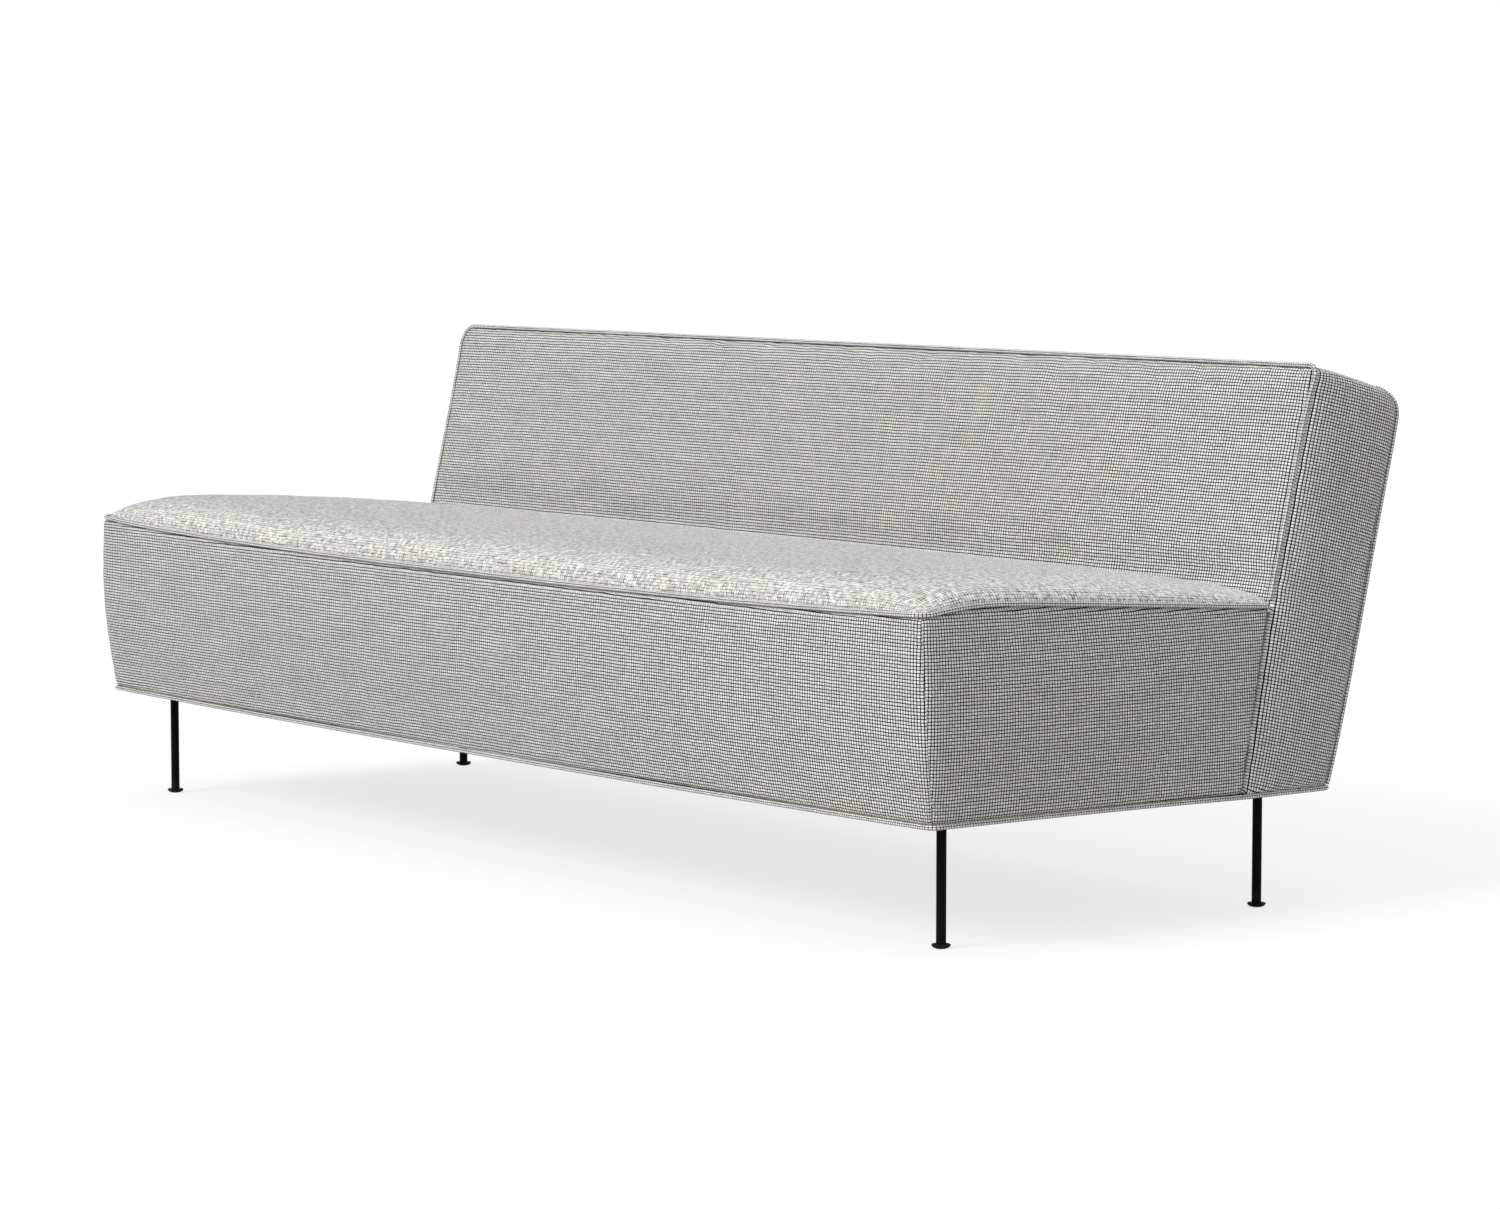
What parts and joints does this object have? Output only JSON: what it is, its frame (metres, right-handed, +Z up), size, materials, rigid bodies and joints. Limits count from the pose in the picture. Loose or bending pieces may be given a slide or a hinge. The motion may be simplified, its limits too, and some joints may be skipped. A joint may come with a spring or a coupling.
{
  "type": "armless sofa",
  "caption": "Armless sofa with a crowned padded seat box, a leaning padded back, welted seams and slim round black steel legs on button glides.",
  "frame": {"origin": "centre of the overall bounding box, on the floor under the glides", "axes": "+X along the sofa's length to the right as seen from the front, +Y from the front of the seat to the back, +Z up"},
  "size_m": [2.0166, 0.8328, 0.7256],
  "materials": {
    "weave": "coarse upholstery weave, cream dots on a near-black lattice, matt",
    "welt": "cord in a folded strip of the same weave",
    "foam": "upholstery foam, open cells",
    "felt": "needled felt pad",
    "timber": "planed softwood, unfinished",
    "spring_steel": "drawn spring wire",
    "webbing": "woven elastic webbing",
    "dust_cloth": "thin black non-woven cloth",
    "black_steel": "black satin coating",
    "plate_steel": "black flat coating"
  },
  "bodies": {
    "root": {"seat_cover": "weave", "back_cover": "weave", "seat_top_welt": "welt", "back_front_welt": "welt", "back_rear_welt": "welt", "base_welt": "welt", "seat_foam": "foam", "seat_border_foam": "foam", "back_front_foam": "foam", "back_border_foam": "foam", "back_rear_pad": "foam", "deck_felt": "felt", "seat_front_rail": "timber", "seat_rear_rail": "timber", "seat_left_rail": "timber", "seat_right_rail": "timber", "seat_centre_rail": "timber", "front_left_block": "timber", "front_right_block": "timber", "spring_batten_front": "timber", "spring_batten_rear": "timber", "back_sill": "timber", "back_top_rail": "timber", "back_left_stile": "timber", "back_left_mid_stile": "timber", "back_right_mid_stile": "timber", "back_right_stile": "timber", "seat_spring_1": "spring_steel", "seat_spring_2": "spring_steel", "seat_spring_3": "spring_steel", "seat_spring_4": "spring_steel", "seat_spring_5": "spring_steel", "seat_spring_6": "spring_steel", "seat_spring_7": "spring_steel", "seat_spring_8": "spring_steel", "seat_spring_9": "spring_steel", "seat_spring_10": "spring_steel", "back_strap_1": "webbing", "back_strap_2": "webbing", "back_strap_3": "webbing", "back_strap_4": "webbing", "back_strap_5": "webbing", "dust_cover": "dust_cloth", "leg_rod_front_left": "black_steel", "leg_rod_front_right": "black_steel", "leg_rod_rear_left": "black_steel", "leg_rod_rear_right": "black_steel", "leg_glide_front_left": "black_steel", "leg_glide_front_right": "black_steel", "leg_glide_rear_left": "black_steel", "leg_glide_rear_right": "black_steel", "leg_plate_front_left": "plate_steel", "leg_plate_front_right": "plate_steel", "leg_plate_rear_left": "plate_steel", "leg_plate_rear_right": "plate_steel", "joining_bar_left": "plate_steel", "joining_bar_centre": "plate_steel", "joining_bar_right": "plate_steel"}
  },
  "joints": []
}
